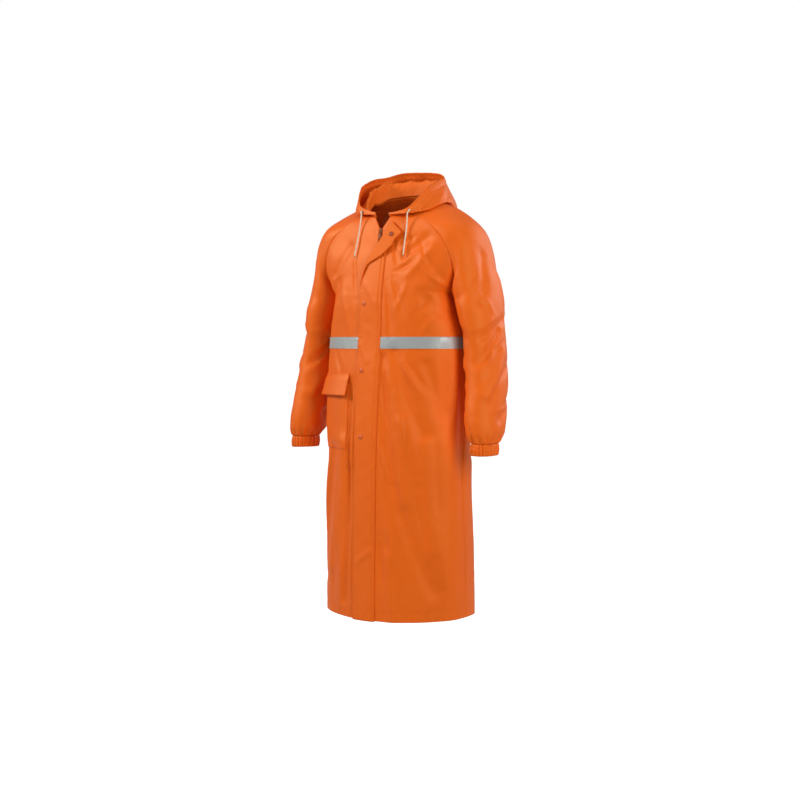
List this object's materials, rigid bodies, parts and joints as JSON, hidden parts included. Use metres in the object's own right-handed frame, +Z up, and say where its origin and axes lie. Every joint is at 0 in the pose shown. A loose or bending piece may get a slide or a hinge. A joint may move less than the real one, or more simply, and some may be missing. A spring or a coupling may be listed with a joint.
{
  "type": "hooded raincoat",
  "caption": "Long hooded raincoat with raglan sleeves, gathered cuffs, storm flap over a zip, reflective chest tape, flapped patch pocket and drawstrings, in its worn shape.",
  "frame": {"origin": "centre of the neck base at shoulder height, where the wearer's shoulders carry the coat", "axes": "+Z up along the coat's length, -Y out of its front, +X to the wearer's left"},
  "size_m": [0.7208, 0.3464, 1.2973],
  "materials": {
    "shell": "coated woven cloth, slightly glossy",
    "reflective_tape": "satin reflective tape",
    "snap": "painted, satin",
    "zip_tape": "woven tape",
    "zip_metal": "satin",
    "eyelet": "satin",
    "drawstring": "braided cotton"
  },
  "bodies": {
    "coat": {"front_left": "shell", "front_right": "shell", "back": "shell", "sleeve_left": "shell", "sleeve_right": "shell", "cuff_left": "shell", "cuff_right": "shell", "hood_left": "shell", "hood_right": "shell", "storm_flap": "shell", "pocket": "shell", "pocket_flap": "shell", "tape_front_left": "reflective_tape", "tape_front_right": "reflective_tape", "tape_back": "reflective_tape", "snap_cap_1": "snap", "snap_cap_2": "snap", "snap_cap_3": "snap", "snap_socket": "snap", "zip_tape_left": "zip_tape", "zip_tape_right": "zip_tape", "zip_slider": "zip_metal", "eyelet_left": "eyelet", "eyelet_right": "eyelet", "drawstring_left": "drawstring", "drawstring_right": "drawstring"},
    "pull": {"zip_pull": "zip_metal"}
  },
  "joints": [
    {"name": "zip_pull_hinge", "type": "hinge", "parent": "coat", "child": "pull", "pos_m": [0, -0.128, -0.09851], "axis": [-1, 0, 0], "range_deg": [0, 135]}
  ]
}
